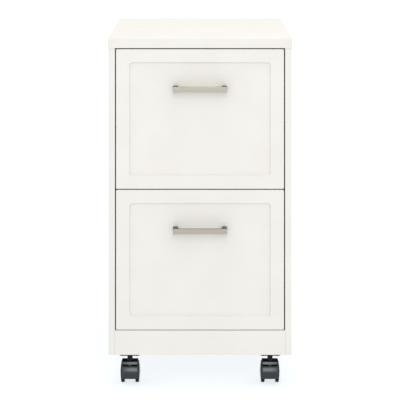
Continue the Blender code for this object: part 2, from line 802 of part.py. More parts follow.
def make_wheel(name, x, y, sign):
    """A wheel with a blind hub bore inside and a domed face outside."""
    outer = WHEEL_INNER + WHEEL_TREAD
    crown = outer + WHEEL_DOME
    bore = AXLE_RADIUS + PIN_FIT
    blind = outer - RUNNING_CLEARANCE
    dome = [(WHEEL_RADIUS * out, outer + WHEEL_DOME * up) for out, up in DOME_SHAPE]
    profile = [
        (0, crown),
        *dome,
        (WHEEL_RADIUS - WHEEL_EDGE, outer),
        (WHEEL_RADIUS, outer - WHEEL_EDGE),
        (WHEEL_RADIUS, WHEEL_INNER + WHEEL_EDGE),
        (WHEEL_RADIUS - WHEEL_EDGE, WHEEL_INNER),
        (bore, WHEEL_INNER),
        (bore, blind),
        (0, blind),
    ]
    turn = Matrix.Rotation(sign * math.pi / 2, 4, "Y")
    matrix = Matrix.Translation((x, y + TRAIL, WHEEL_RADIUS)) @ turn
    return turned_part(name, profile, BLACK, ROUND_SEGMENTS, matrix)


def make_casters():
    for end, side, x, y in caster_places():
        place = f"{end}_{side}"
        make_caster_plate(f"caster_plate_{place}", x, y)
        swivel = joint_centre(f"swivel_{place}", (x, y, DECK_TOP))
        hang(swivel, make_caster_hood(f"caster_hood_{place}", x, y))
        for hand, sign in SIDES:
            hang(swivel, make_wheel(f"wheel_{place}_{hand}", x, y, sign))
        length = 2 * (WHEEL_INNER + WHEEL_TREAD - 2 * RUNNING_CLEARANCE)
        name = f"axle_{place}"
        mesh = cylinder_mesh(name, AXLE_RADIUS, length, "X", (x, y + TRAIL, WHEEL_RADIUS))
        hang(swivel, add_part(name, mesh, ZINC))


def build():
    make_top_cover()
    make_kick_panel()
    make_back_panel()
    make_floor_panel()
    narrowest = min(HALF_BETWEEN_FLANGES, HALF_OPENING)
    make_caster_channel("front", FACE_Y + LAP, narrowest - GAP)
    channel_rear = FRONT_Y + DEPTH - CASTER_REAR_INSET - CHANNEL_WIDTH / 2
    make_caster_channel("rear", channel_rear, HALF_BETWEEN_FLANGES - GAP)
    for side, sign in SIDES:
        make_side_panel(side, sign)
        make_upright("front", SLIDE_FRONT_Y + UPRIGHT_INSET, side, sign)
        upright_rear = SLIDE_REAR_Y - UPRIGHT_INSET - UPRIGHT_WIDTH - 2 * UPRIGHT_FLANGE
        make_upright("rear", upright_rear, side, sign)
    for drawer, foot in DRAWERS:
        make_drawer(drawer, foot)
    make_casters()


clear_scene()
PARTS = collection("filing_cabinet")
HELPERS = collection("cutters_and_joins")
build()
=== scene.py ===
import json
import math

import bmesh
import bpy
from mathutils import Matrix, Vector


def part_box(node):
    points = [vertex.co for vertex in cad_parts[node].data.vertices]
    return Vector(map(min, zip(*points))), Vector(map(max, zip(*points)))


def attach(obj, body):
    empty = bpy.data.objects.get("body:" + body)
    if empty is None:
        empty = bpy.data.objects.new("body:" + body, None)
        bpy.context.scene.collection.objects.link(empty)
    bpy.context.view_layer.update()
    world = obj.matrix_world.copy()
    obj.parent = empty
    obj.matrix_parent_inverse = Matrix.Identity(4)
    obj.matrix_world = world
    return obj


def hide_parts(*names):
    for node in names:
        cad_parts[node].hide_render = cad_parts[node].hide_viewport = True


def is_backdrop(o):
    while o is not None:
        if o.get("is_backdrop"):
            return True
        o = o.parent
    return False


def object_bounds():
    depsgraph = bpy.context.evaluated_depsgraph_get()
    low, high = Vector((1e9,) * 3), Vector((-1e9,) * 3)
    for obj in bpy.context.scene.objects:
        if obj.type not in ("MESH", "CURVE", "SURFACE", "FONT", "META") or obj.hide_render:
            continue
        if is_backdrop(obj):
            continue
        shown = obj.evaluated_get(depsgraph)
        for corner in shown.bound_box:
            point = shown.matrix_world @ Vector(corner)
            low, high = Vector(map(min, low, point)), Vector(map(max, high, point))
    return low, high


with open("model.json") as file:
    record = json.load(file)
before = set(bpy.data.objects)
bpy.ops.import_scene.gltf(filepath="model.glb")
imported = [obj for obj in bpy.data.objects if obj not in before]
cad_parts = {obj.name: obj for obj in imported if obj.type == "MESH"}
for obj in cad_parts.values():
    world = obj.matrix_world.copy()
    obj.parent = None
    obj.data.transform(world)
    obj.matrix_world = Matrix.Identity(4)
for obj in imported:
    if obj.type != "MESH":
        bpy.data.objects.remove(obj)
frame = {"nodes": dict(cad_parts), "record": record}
cadLow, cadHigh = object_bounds()
sides = {"left": -1, "right": 1}
drawers = ("lower", "upper")
casters = [f"{end}_{side}" for end in ("front", "rear") for side in sides]
bodyOf = {node: body for body, nodes in frame["record"]["behaviour"]["bodies"].items() for node in nodes}
slotOf = {part["node"]: part["material_slot"] for part in frame["record"]["subparts"]}
print("frame loaded")


# adds one node to a shader or geometry tree; an input takes a value or another node's output
def addNode(tree, kind, inputs=None, **settings):
    made = tree.nodes.new(kind)
    for name, value in settings.items():
        setattr(made, name, value)
    for key, value in (inputs or {}).items():
        if isinstance(value, bpy.types.NodeSocket):
            tree.links.new(value, made.inputs[key])
        else:
            made.inputs[key].default_value = value
    return made


def linear(hexColour):
    parts = [int(hexColour[i:i + 2], 16) / 255 for i in (0, 2, 4)]
    return (*[p / 12.92 if p <= 0.04045 else ((p + 0.055) / 1.055) ** 2.4 for p in parts], 1)


# ---- camera: a view camera, which keeps its film upright while it looks down
viewCamera = {"distance": 3.018, "height": 0.9863, "drop": math.radians(11.57), "lens": 140.9, "film": 36}
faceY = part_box("kick_panel")[0].y
cameraData = bpy.data.cameras.new("viewCamera")
cameraData.lens = viewCamera["lens"]
cameraData.sensor_width = viewCamera["film"]
cameraObject = bpy.data.objects.new("viewCamera", cameraData)
cameraStand = bpy.data.objects.new("cameraStand", None)
for made in (cameraObject, cameraStand):
    bpy.context.scene.collection.objects.link(made)
drop = viewCamera["drop"]
film = Matrix(((1, 0, 0, 0), (0, 0, -math.cos(drop), 0), (0, 1, math.sin(drop), 0), (0, 0, 0, 1)))
cameraObject.parent = cameraStand
cameraObject.matrix_parent_inverse = (
    Matrix.Translation((0, faceY - viewCamera["distance"], viewCamera["height"])) @ film
)
bpy.context.scene.camera = cameraObject
bpy.context.scene.view_settings.view_transform = "Standard"

# ---- studio: a white room with a pale floor that glows a little, one softbox in front and one overhead
studio = {
    "sky": 1.05,
    "floor": {
        "reach": 20, "tone": "8C8F91", "glowTone": "F6FAFD", "glow": 0.78, "roughness": 0.9, "specular": 0.1,
    },
    "front": {"power": 29, "size": (1.3, 2.0), "place": (0.05, -3.3, 1.75)},
    "top": {"power": 14, "size": (1.8, 1.8), "place": (0.2, -0.1, 2.7)},
}
world = bpy.data.worlds.new("studioSky")
bpy.context.scene.world = world
world.use_nodes = True
world.node_tree.nodes["Background"].inputs["Color"].default_value = (1, 1, 1, 1)
world.node_tree.nodes["Background"].inputs["Strength"].default_value = studio["sky"]


def addSoftbox(name, power, size, place):
    data = bpy.data.lights.new(name, "AREA")
    data.shape = "RECTANGLE"
    data.size, data.size_y = size
    data.energy = power
    made = bpy.data.objects.new(name, data)
    middle = Vector((0, faceY, (cadLow.z + cadHigh.z) / 2))
    made.location = place
    made.rotation_euler = (middle - Vector(place)).to_track_quat("-Z", "Y").to_euler()
    bpy.context.scene.collection.objects.link(made)


for name in ("front", "top"):
    addSoftbox(f"{name}Softbox", **studio[name])

paper = studio["floor"]
reach = paper["reach"]
corners = [(x * reach, y * reach, cadLow.z) for x, y in ((-1, -1), (1, -1), (1, 1), (-1, 1))]
floorMesh = bpy.data.meshes.new("studioFloor")
floorMesh.from_pydata(corners, [], [(0, 1, 2, 3)])
floorPaper = bpy.data.materials.new("floorPaper")
floorPaper.use_nodes = True
shader = floorPaper.node_tree.nodes["Principled BSDF"]
shader.inputs["Base Color"].default_value = linear(paper["tone"])
shader.inputs["Roughness"].default_value = paper["roughness"]
shader.inputs["Specular IOR Level"].default_value = paper["specular"]
shader.inputs["Emission Color"].default_value = linear(paper["glowTone"])
shader.inputs["Emission Strength"].default_value = paper["glow"]
floorMesh.materials.append(floorPaper)
floor = bpy.data.objects.new("studioFloor", floorMesh)
bpy.context.scene.collection.objects.link(floor)
floor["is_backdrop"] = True
print("camera and studio ready")


# ---- finishes
def newFinish(name, tone, metallic=0.0, ior=1.5, specular=0.5):
    made = bpy.data.materials.new(name)
    made.use_nodes = True
    shader = made.node_tree.nodes["Principled BSDF"]
    shader.inputs["Base Color"].default_value = linear(tone)
    shader.inputs["Metallic"].default_value = metallic
    shader.inputs["Specular IOR Level"].default_value = specular
    if not metallic:
        shader.inputs["IOR"].default_value = ior
    return made, made.node_tree, shader


# noise on the piece's own coordinates; a size is in millimetres along X, Y and Z
def grainOf(tree, sizes, detail=2.0):
    place = addNode(tree, "ShaderNodeTexCoord").outputs["Object"]
    scaled = addNode(tree, "ShaderNodeMapping", {"Vector": place, "Scale": [1000 / size for size in sizes]})
    noise = addNode(
        tree, "ShaderNodeTexNoise", {"Vector": scaled.outputs[0], "Scale": 1.0, "Detail": detail}
    )
    return noise.outputs["Fac"]


# stretches the middle of the noise, where most of it lies, over the values from low to high
def spread(tree, value, low, high):
    made = addNode(tree, "ShaderNodeMapRange", {
        "Value": value, "From Min": 0.3, "From Max": 0.7, "To Min": low, "To Max": high,
    })
    return made.outputs[0]


def varyTone(tree, shader, pattern, data):
    made = addNode(tree, "ShaderNodeMix", data_type="RGBA")
    tree.links.new(spread(tree, pattern, 0, 1), made.inputs[0])
    made.inputs[6].default_value = linear(data["tone"])
    made.inputs[7].default_value = linear(data["shade"])
    tree.links.new(made.outputs[2], shader.inputs["Base Color"])


def varyRoughness(tree, shader, pattern, data):
    tree.links.new(spread(tree, pattern, *data["roughness"]), shader.inputs["Roughness"])


def addBump(tree, shader, height, depth, below=None):
    made = addNode(tree, "ShaderNodeBump", {"Height": height, "Distance": depth, "Strength": 1.0})
    if below is not None:
        tree.links.new(below.outputs[0], made.inputs["Normal"])
    tree.links.new(made.outputs[0], shader.inputs["Normal"])
    return made


# polyester powder coat, sprayed and baked: satin off-white, with orange peel and a finer grit
coat = {
    "tone": "D9D6CF", "shade": "D7D3CC", "roughness": (0.40, 0.50), "cloud": 70,
    "peel": 3.2, "peelDepth": 0.00006, "grit": 0.9, "gritDepth": 0.000012,
}
powderCoat, tree, shader = newFinish("powderCoat", coat["tone"])
peel = grainOf(tree, [coat["peel"]] * 3)
grit = grainOf(tree, [coat["grit"]] * 3, 3)
varyTone(tree, shader, grainOf(tree, [coat["cloud"]] * 3, 1), coat)
varyRoughness(tree, shader, peel, coat)
peelBump = addBump(tree, shader, peel, coat["peelDepth"])
addBump(tree, shader, grit, coat["gritDepth"], peelBump)

# nickel plate brushed along the bar: long fine scratches that spread its highlights up and down
nickel = {
    "tone": "BAB3A5", "shade": "A39C8D", "roughness": (0.24, 0.40), "scratch": (45, 0.35, 0.35),
    "depth": 0.00001,
}
brushedNickel, tree, shader = newFinish("brushedNickel", nickel["tone"], 1.0)
scratches = grainOf(tree, nickel["scratch"], 4)
varyTone(tree, shader, scratches, nickel)
varyRoughness(tree, shader, scratches, nickel)
addBump(tree, shader, scratches, nickel["depth"])

# the handle's other faces: a painted shade, a darker nickel tone that darkens the top, sides and back, with a
# duller roughness and a fine skin
paintedShadeAndSkin = {"tone": "686259", "roughness": (0.38, 0.55), "skin": 0.8, "depth": 0.00002}
paintedShadeNickel, tree, shader = newFinish("paintedShadeNickel", paintedShadeAndSkin["tone"], 1.0)
skin = grainOf(tree, [paintedShadeAndSkin["skin"]] * 3, 3)
varyRoughness(tree, shader, skin, paintedShadeAndSkin)
addBump(tree, shader, skin, paintedShadeAndSkin["depth"])

# bright zinc plate on rolled steel: faint blue, softly clouded, with the lines of the rolling along Y
zinc = {
    "tone": "C4C8CB", "shade": "B6BABE", "roughness": (0.30, 0.40), "cloud": 38,
    "rolling": (0.6, 60, 0.6), "depth": 0.000006,
}
zincPlate, tree, shader = newFinish("zincPlate", zinc["tone"], 1.0)
rolling = grainOf(tree, zinc["rolling"], 3)
varyTone(tree, shader, grainOf(tree, [zinc["cloud"]] * 3, 3), zinc)
varyRoughness(tree, shader, rolling, zinc)
addBump(tree, shader, rolling, zinc["depth"])

# chromed bearing steel, polished: a bright mirror with a slight haze
bearing = {"tone": "D9DBDD", "roughness": (0.08, 0.16), "haze": 2.5}
bearingSteel, tree, shader = newFinish("bearingSteel", bearing["tone"], 1.0)
varyRoughness(tree, shader, grainOf(tree, [bearing["haze"]] * 3), bearing)

# black stoving enamel on the caster plates: glossy, a little wavy
enamel = {"tone": "101112", "roughness": (0.28, 0.42), "wave": 2.2, "depth": 0.00003, "specular": 0.16}
blackEnamel, tree, shader = newFinish("blackEnamel", enamel["tone"], specular=enamel["specular"])
wave = grainOf(tree, [enamel["wave"]] * 3)
varyRoughness(tree, shader, wave, enamel)
addBump(tree, shader, wave, enamel["depth"])

# nylon 6 moulded in a polished tool: deep black with a cool sheen and faint flow marks
nylonIor = 1.53
polished = {
    "tone": "0B0B0C", "sheen": "EEFAFF", "roughness": (0.20, 0.25), "flow": (9, 9, 2.5), "depth": 0.00001,
    "specular": 0.62,
}
hoodNylon, tree, shader = newFinish("hoodNylon", polished["tone"], 0.0, nylonIor, polished["specular"])
shader.inputs["Specular Tint"].default_value = linear(polished["sheen"])
flow = grainOf(tree, polished["flow"])
varyRoughness(tree, shader, flow, polished)
addBump(tree, shader, flow, polished["depth"])

# the same nylon where the tool is spark-eroded: a fine matte grain that shows as a flat black
eroded = {"tone": "080808", "roughness": (0.68, 0.85), "grain": 0.5, "depth": 0.00003, "specular": 0.03}
erodedNylon, tree, shader = newFinish("erodedNylon", eroded["tone"], 0.0, nylonIor, eroded["specular"])
erosion = grainOf(tree, [eroded["grain"]] * 3, 3)
varyRoughness(tree, shader, erosion, eroded)
addBump(tree, shader, erosion, eroded["depth"])

# the wheels' nylon: the same black, dulled and scuffed where it rolls
rolled = {"tone": "0C0C0D", "roughness": (0.34, 0.5), "scuff": 1.6, "depth": 0.00002, "specular": 0.05}
treadNylon, tree, shader = newFinish("treadNylon", rolled["tone"], 0.0, nylonIor, rolled["specular"])
scuff = grainOf(tree, [rolled["scuff"]] * 3, 4)
varyRoughness(tree, shader, scuff, rolled)
addBump(tree, shader, scuff, rolled["depth"])

finishes = {
    "powder_coat": powderCoat, "brushed_nickel": brushedNickel, "zinc_plate": zincPlate,
    "black_steel": blackEnamel, "black_nylon": hoodNylon,
}
print("finishes ready")


# ---- shared ways of making a piece
# puts a mesh in the scene as a piece: attached to its body, finished by its slot's finish unless one is
# given, and with the CAD nodes it stands for hidden
def addPiece(name, mesh, body, slot, finish=None, standsFor=(), smoothAngle=35):
    mesh.materials.clear()
    mesh.materials.append(finish or finishes[slot])
    mesh.shade_smooth()
    mesh.set_sharp_from_angle(angle=math.radians(smoothAngle))
    made = bpy.data.objects.new(name, mesh)
    bpy.context.scene.collection.objects.link(made)
    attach(made, body)
    if standsFor:
        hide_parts(*standsFor)
    return made


# lets the large flat faces set the normals, so that a bend's shading doesn't leak over them
def holdFlats(piece):
    weights = piece.modifiers.new("flatFaces", "WEIGHTED_NORMAL")
    weights.keep_sharp = True
    weights.weight = 100


# the points that an extrusion has just made
def extrudedPoints(shape, base):
    drawn = bmesh.ops.extrude_face_region(shape, geom=[base])["geom"]
    return [v for v in drawn if isinstance(v, bmesh.types.BMVert)]


def meshOf(name, shape):
    made = bpy.data.meshes.new(name)
    shape.to_mesh(made)
    shape.free()
    return made


def arcPoints(centre, radius, first, last, steps):
    angles = [math.radians(first + (last - first) * i / steps) for i in range(steps + 1)]
    return [(centre[0] + radius * math.cos(a), centre[1] + radius * math.sin(a)) for a in angles]


# a rectangle with rounded corners, by half sizes
def roundedOutline(halfU, halfV, radius, steps=8):
    corners = ((1, 1, 0), (-1, 1, 90), (-1, -1, 180), (1, -1, 270))
    return [
        point
        for u, v, turn in corners
        for point in arcPoints((u * (halfU - radius), v * (halfV - radius)), radius, turn, turn + 90, steps)
    ]


# a panel drawn through loops (half width, half height, corner radius, level) from its rim to its middle
def pressedMesh(name, loops, centre, toPlace):
    shape = bmesh.new()
    rings = []
    for halfU, halfV, radius, level in loops:
        outline = roundedOutline(halfU, halfV, radius)
        rings.append([shape.verts.new(toPlace(centre[0] + u, centre[1] + v, level)) for u, v in outline])
    for outer, inner in zip(rings, rings[1:]):
        for corners in zip(outer, outer[1:] + outer[:1], inner[1:] + inner[:1], inner):
            shape.faces.new(corners)
    shape.faces.new(rings[-1])
    bmesh.ops.recalc_face_normals(shape, faces=shape.faces)
    return shape


# turns the whole surface over if its middle doesn't face this way
def faceTowards(shape, direction):
    shape.normal_update()
    middle = max(shape.faces, key=lambda face: len(face.verts))
    if middle.normal.dot(Vector(direction)) < 0:
        bmesh.ops.reverse_faces(shape, faces=shape.faces)


def addThickness(piece, thickness):
    wall = piece.modifiers.new("sheet", "SOLIDIFY")
    wall.thickness = thickness
    wall.offset = -1
    wall.use_even_offset = True


def turnedMesh(name, profile, steps, matrix):
    shape = bmesh.new()
    points = [shape.verts.new((radius, 0, height)) for radius, height in profile]
    edges = [shape.edges.new(pair) for pair in zip(points, points[1:])]
    bmesh.ops.spin(
        shape, geom=points + edges, cent=(0, 0, 0), axis=(0, 0, 1), angle=2 * math.pi, steps=steps,
        use_merge=True,
    )
    bmesh.ops.remove_doubles(shape, verts=shape.verts, dist=1e-6)
    bmesh.ops.recalc_face_normals(shape, faces=shape.faces)
    bmesh.ops.transform(shape, matrix=matrix, verts=shape.verts)
    return meshOf(name, shape)


# ---- sheet pieces and pins whose CAD shape is right: the same shape, its edges broken and its bends smooth
softened = {"edge": 0.00018, "steps": 2, "merge": 1e-6, "flat": math.radians(0.5), "sharp": math.radians(50)}


def softenNode(node):
    shape = bmesh.new()
    shape.from_mesh(frame["nodes"][node].data)
    bmesh.ops.remove_doubles(shape, verts=shape.verts, dist=softened["merge"])
    bmesh.ops.dissolve_limit(
        shape, angle_limit=softened["flat"], verts=shape.verts, edges=shape.edges,
        use_dissolve_boundaries=False,
    )
    made = addPiece(f"{node}_finished", meshOf(node, shape), bodyOf[node], slotOf[node], None, [node])
    edges = made.modifiers.new("brokenEdges", "BEVEL")
    edges.width = softened["edge"]
    edges.segments = softened["steps"]
    edges.limit_method = "ANGLE"
    edges.angle_limit = softened["sharp"]
    holdFlats(made)


sheetNodes = ["back_panel", "kick_panel", "floor_panel", "side_panel_left", "side_panel_right"]
sheetNodes += ["caster_channel_front", "caster_channel_rear"]
sheetNodes += [f"upright_{place}" for place in casters]
drawerSheets = ("front_backing", "drawer_body", "drawer_back")
sheetNodes += [f"{kind}_{drawer}" for kind in drawerSheets for drawer in drawers]
sheetNodes += [f"slide_{member}_{d}_{s}" for member in ("outer", "inner") for d in drawers for s in sides]
sheetNodes += [f"ball_cage_{drawer}_{side}" for drawer in drawers for side in sides]
pinNodes = [f"axle_{place}" for place in casters]
pinNodes += [f"handle_screw_{drawer}_{side}" for drawer in drawers for side in sides]
for node in sheetNodes + pinNodes:
    softenNode(node)
print("sheet pieces and pins finished")

# ---- top cover
cover = {"sheet": 0.0007, "bend": 0.0014, "corner": 0.0022, "steps": 8}


def bendLoops(halfU, halfV, corner, rim, face, inward, size):
    loops = [(halfU, halfV, corner, rim)]
    for across, down in arcPoints((0, 0), size["bend"], 0, 90, size["steps"]):
        inset = size["bend"] - across
        radius = max(corner - inset, corner / 3)
        loops.append((halfU - inset, halfV - inset, radius, face - inward * (size["bend"] - down)))
    return loops


low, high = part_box("top_cover")
middle = (low + high) / 2
loops = bendLoops(high.x, (high.y - low.y) / 2, cover["corner"], low.z, high.z, 1, cover)
shape = pressedMesh("top_cover", loops, (0, middle.y), lambda u, v, level: (u, v, level))
faceTowards(shape, (0, 0, 1))
mesh = meshOf("top_cover", shape)
made = addPiece("top_cover_finished", mesh, "cabinet", "powder_coat", None, ["top_cover"])
addThickness(made, cover["sheet"])
holdFlats(made)
print("top cover finished")

# ---- drawer fronts: a bent rim, a flat border, and a recessed panel that dishes a little towards its middle
drawerFront = {
    "sheet": 0.0007, "bend": 0.0014, "corner": 0.0024, "steps": 8, "stile": 0.026, "recess": 0.0034,
    "wall": 0.0021, "recessCorner": 0.0055, "wallSteps": 10,
    "dish": 0.0004, "dishWidth": 0.045, "dishSteps": 6,
}


def softStep(t):
    return t * t * (3 - 2 * t)


def drawerFrontMesh(node):
    size = drawerFront
    low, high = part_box(node)
    halfU, halfV = (high.x - low.x) / 2, (high.z - low.z) / 2
    loops = bendLoops(halfU, halfV, size["corner"], high.y, low.y, -1, size)
    innerU, innerV = halfU - size["stile"], halfV - size["stile"]
    for i in range(size["wallSteps"] + 1):
        t = i / size["wallSteps"]
        inset = t * size["wall"]
        level = low.y + size["recess"] * softStep(t)
        loops.append((innerU - inset, innerV - inset, size["recessCorner"] - inset, level))
    innerU, innerV = innerU - size["wall"], innerV - size["wall"]
    corner = size["recessCorner"] - size["wall"]
    for i in range(1, size["dishSteps"] + 1):
        t = i / size["dishSteps"]
        inset = t * size["dishWidth"]
        level = low.y + size["recess"] + size["dish"] * softStep(t)
        loops.append((innerU - inset, innerV - inset, corner, level))
    shape = pressedMesh(node, loops, (0, (low.z + high.z) / 2), lambda u, v, level: (u, level, v))
    faceTowards(shape, (0, -1, 0))
    return meshOf(node, shape)


for drawer in drawers:
    node = f"drawer_front_{drawer}"
    mesh = drawerFrontMesh(node)
    made = addPiece(f"{node}_finished", mesh, f"{drawer}_drawer", "powder_coat", None, [node])
    addThickness(made, drawerFront["sheet"])
    holdFlats(made)
print("drawer fronts finished")

# ---- bar handles: a square bar on two square feet, with ground chamfers
handle = {"bar": 0.008, "foot": 0.0098, "chamfer": 0.0008, "chamferSteps": 3}


def handleMesh(node):
    low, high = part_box(node)
    inner = high.x - handle["foot"]
    grip = low.y + handle["bar"]
    outline = [(low.x, high.y), (low.x, low.y), (high.x, low.y), (high.x, high.y)]
    outline += [(inner, high.y), (inner, grip), (-inner, grip), (-inner, high.y)]
    shape = bmesh.new()
    base = shape.faces.new([shape.verts.new((x, y, low.z)) for x, y in outline])
    raised = extrudedPoints(shape, base)
    bmesh.ops.translate(shape, verts=raised, vec=(0, 0, high.z - low.z))
    bmesh.ops.recalc_face_normals(shape, faces=shape.faces)
    ground = [e for e in shape.edges if min(v.co.y for v in e.verts) < high.y - handle["chamfer"]]
    bmesh.ops.bevel(
        shape, geom=ground, offset=handle["chamfer"], segments=handle["chamferSteps"], affect="EDGES",
        profile=0.6,
    )
    return meshOf(node, shape)


for drawer in drawers:
    node = f"handle_{drawer}"
    mesh = handleMesh(node)
    made = addPiece(f"{node}_finished", mesh, f"{drawer}_drawer", "brushed_nickel", None, [node])
    # faces that don't face the front take the darker nickel: a painted shade on the bar's top, sides and back
    mesh.materials.append(paintedShadeNickel)
    for face in mesh.polygons:
        face.material_index = int(face.normal.y > -0.5)
    holdFlats(made)
print("handles finished")

# ---- casters
caster = {
    "trail": 0.0125, "wheel": 0.021, "gap": 0.0003, "plate": 0.0025,
    "hoodIn": 0.0224, "hoodOut": 0.024, "hoodHalf": 0.0158, "hoodRound": 0.0013,
    "low": -22, "back": 128, "steps": 60,
    "deckHalf": 0.0163, "deckFront": 0.0217, "deckBack": 0.003, "deckThick": 0.005, "deckLean": 0.0022,
    "deckRound": 0.0008, "deckCorner": 0.0024, "wheelRoom": 0.0004,
    "bossRadius": 0.0056, "webHalf": 0.0034, "axleBoss": 0.0052, "hubLength": 0.0194, "ribStep": 4,
}


def axleOf(place):
    low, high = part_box(f"axle_{place}")
    return (low + high) / 2


# joins closed meshes into one, then cuts others from it
def unite(name, meshes, cutters=()):
    holders = []
    for mesh in [*meshes, *cutters]:
        made = bpy.data.objects.new(name, mesh)
        bpy.context.scene.collection.objects.link(made)
        holders.append(made)
    for i, other in enumerate(holders[1:], 1):
        join = holders[0].modifiers.new("join", "BOOLEAN")
        join.operation = "UNION" if i < len(meshes) else "DIFFERENCE"
        join.object = other
    bpy.context.view_layer.update()
    graph = bpy.context.evaluated_depsgraph_get()
    result = bpy.data.meshes.new_from_object(holders[0].evaluated_get(graph))
    for made in holders:
        bpy.data.objects.remove(made)
    return result


def rodMesh(radius, length, centre, axis="Z", steps=32):
    shape = bmesh.new()
    bmesh.ops.create_cone(shape, cap_ends=True, segments=steps, radius1=radius, radius2=radius, depth=length)
    turn = Matrix.Rotation(math.pi / 2, 4, "Y") if axis == "X" else Matrix.Identity(4)
    bmesh.ops.transform(shape, matrix=Matrix.Translation(centre) @ turn, verts=shape.verts)
    return meshOf("rod", shape)


# the flat deck above the hood: its front edge leans back, and its corners are rounded
def deckMesh(axle, top):
    size = caster
    middleY = axle.y + (size["deckBack"] - size["deckFront"]) / 2
    halfV = (size["deckFront"] + size["deckBack"]) / 2
    shape = bmesh.new()
    foot = [
        shape.verts.new((axle.x + u, middleY + v, top - size["deckThick"]))
        for u, v in roundedOutline(size["deckHalf"], halfV, size["deckCorner"], 5)
    ]
    base = shape.faces.new(foot)
    for v in extrudedPoints(shape, base):
        forward = (middleY + halfV - v.co.y) / (2 * halfV)
        v.co += Vector((0, size["deckLean"] * forward, size["deckThick"]))
    bmesh.ops.recalc_face_normals(shape, faces=shape.faces)
    rims = [e for e in shape.edges if min(v.co.z for v in e.verts) > top - 1e-6]
    bmesh.ops.bevel(shape, geom=rims, offset=size["deckRound"], segments=3, affect="EDGES", profile=0.5)
    return meshOf("deck", shape)


# a curved hood over the wheels, its deck, and the web, boss and hub between them
def hoodMesh(place):
    size = caster
    axle = axleOf(place)
    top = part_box(f"caster_hood_{place}")[1].z
    half, soft = size["hoodHalf"], size["hoodRound"]
    outline = [(-half, size["hoodIn"])]
    outline += arcPoints((-half + soft, size["hoodOut"] - soft), soft, 180, 90, 5)
    outline += arcPoints((half - soft, size["hoodOut"] - soft), soft, 90, 0, 5)
    outline += [(half, size["hoodIn"])]
    shape = bmesh.new()
    rings = []
    for i in range(size["steps"] + 1):
        turn = math.radians(size["low"] + (size["back"] - size["low"]) * i / size["steps"])
        rings.append([
            shape.verts.new((axle.x + x, axle.y - r * math.cos(turn), axle.z + r * math.sin(turn)))
            for x, r in outline
        ])
    for ring, after in zip(rings, rings[1:]):
        for corners in zip(ring, ring[1:] + ring[:1], after[1:] + after[:1], after):
            shape.faces.new(corners)
    shape.faces.new(rings[0])
    shape.faces.new(rings[-1])
    bmesh.ops.recalc_face_normals(shape, faces=shape.faces)
    shell = meshOf("hoodShell", shape)
    wheelRoom = rodMesh(size["hoodIn"] + size["wheelRoom"], 4 * size["hoodHalf"], tuple(axle), "X", 96)
    deck = unite("deck", [deckMesh(axle, top)], [wheelRoom])
    inside = (size["hoodIn"] + size["hoodOut"]) / 2
    shape = bmesh.new()
    rim = [(axle.y, axle.z)]
    rim += [
        (axle.y - inside * math.cos(math.radians(turn)), axle.z + inside * math.sin(math.radians(turn)))
        for turn in range(size["low"] + 2, size["back"] - 1, size["ribStep"])
    ]
    base = shape.faces.new([shape.verts.new((axle.x - size["webHalf"], y, z)) for y, z in rim])
    raised = extrudedPoints(shape, base)
    bmesh.ops.translate(shape, verts=raised, vec=(2 * size["webHalf"], 0, 0))
    bmesh.ops.recalc_face_normals(shape, faces=shape.faces)
    web = meshOf("web", shape)
    stemY = axle.y - size["trail"]
    foot = axle.z - size["axleBoss"]
    bossTop = top - 2 * size["gap"]
    boss = rodMesh(size["bossRadius"], bossTop - foot, (axle.x, stemY, (bossTop + foot) / 2))
    hub = rodMesh(size["axleBoss"], size["hubLength"], tuple(axle), "X")
    return unite(f"caster_hood_{place}", [shell, deck, web, boss, hub])


for place in casters:
    node = f"caster_hood_{place}"
    mesh = hoodMesh(place)
    addPiece(f"{node}_finished", mesh, bodyOf[node], "black_nylon", hoodNylon, [node])
    mesh.materials.append(erodedNylon)
    top = max(v.co.z for v in mesh.vertices)
    for face in mesh.polygons:
        face.material_index = int(face.center.z > top - caster["deckRound"] and face.normal.z > 0.9)
print("caster hoods finished")

# ---- caster plates: the pressed plate, the spun collar below it and the neck of the kingpin
plate = {
    "half": 0.0196, "corner": 0.004, "edge": 0.0005, "neck": 0.0052,
    "collar": 0.0115, "collarEdge": 0.0004, "collarDeep": 0.0028, "flare": 0.0022,
}


def plateMesh(place):
    low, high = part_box(f"caster_plate_{place}")
    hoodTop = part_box(f"caster_hood_{place}")[1].z
    x, y = (low.x + high.x) / 2, (low.y + high.y) / 2
    foot = high.z - caster["plate"]
    half = plate["half"]
    shape = bmesh.new()
    outline = roundedOutline(half, half, plate["corner"])
    base = shape.faces.new([shape.verts.new((x + u, y + v, foot)) for u, v in outline])
    raised = extrudedPoints(shape, base)
    bmesh.ops.translate(shape, verts=raised, vec=(0, 0, caster["plate"]))
    bmesh.ops.recalc_face_normals(shape, faces=shape.faces)
    rims = [e for e in shape.edges if abs(e.verts[0].co.z - e.verts[1].co.z) < 1e-6]
    bmesh.ops.bevel(shape, geom=rims, offset=plate["edge"], segments=3, affect="EDGES", profile=0.5)
    slab = meshOf("slab", shape)
    collar, neck, deep = plate["collar"], plate["neck"], foot - plate["collarDeep"]
    profile = [(0, foot + 0.001), (collar, foot + 0.001), (collar, foot - plate["collarEdge"])]
    profile += [(collar - 0.0012, foot - 0.0016), (neck + plate["flare"], foot - 0.0018)]
    profile += [(neck + 0.0008, deep), (neck, deep - 0.0006)]
    end = hoodTop + caster["gap"]
    profile += [(neck, hoodTop + 0.0008), (neck - 0.0005, end), (0, end)]
    stem = turnedMesh("stem", profile, 48, Matrix.Translation((x, y, 0)))
    return unite(f"caster_plate_{place}", [slab, stem])


for place in casters:
    node = f"caster_plate_{place}"
    made = addPiece(f"{node}_finished", plateMesh(place), "cabinet", "black_steel", None, [node])
    holdFlats(made)
print("caster plates finished")

# ---- wheels: a satin tread with rounded shoulders, and a glossy domed face with a ring and a cap
wheel = {
    "dome": 0.0021, "shoulder": 0.0011, "steps": 72, "capRadius": 0.0046, "capDeep": 0.0004, "bore": 0.0029,
    "boreEnd": 0.0012, "hub": 0.0056, "hollow": 0.003, "faceEdge": 0.9,
}


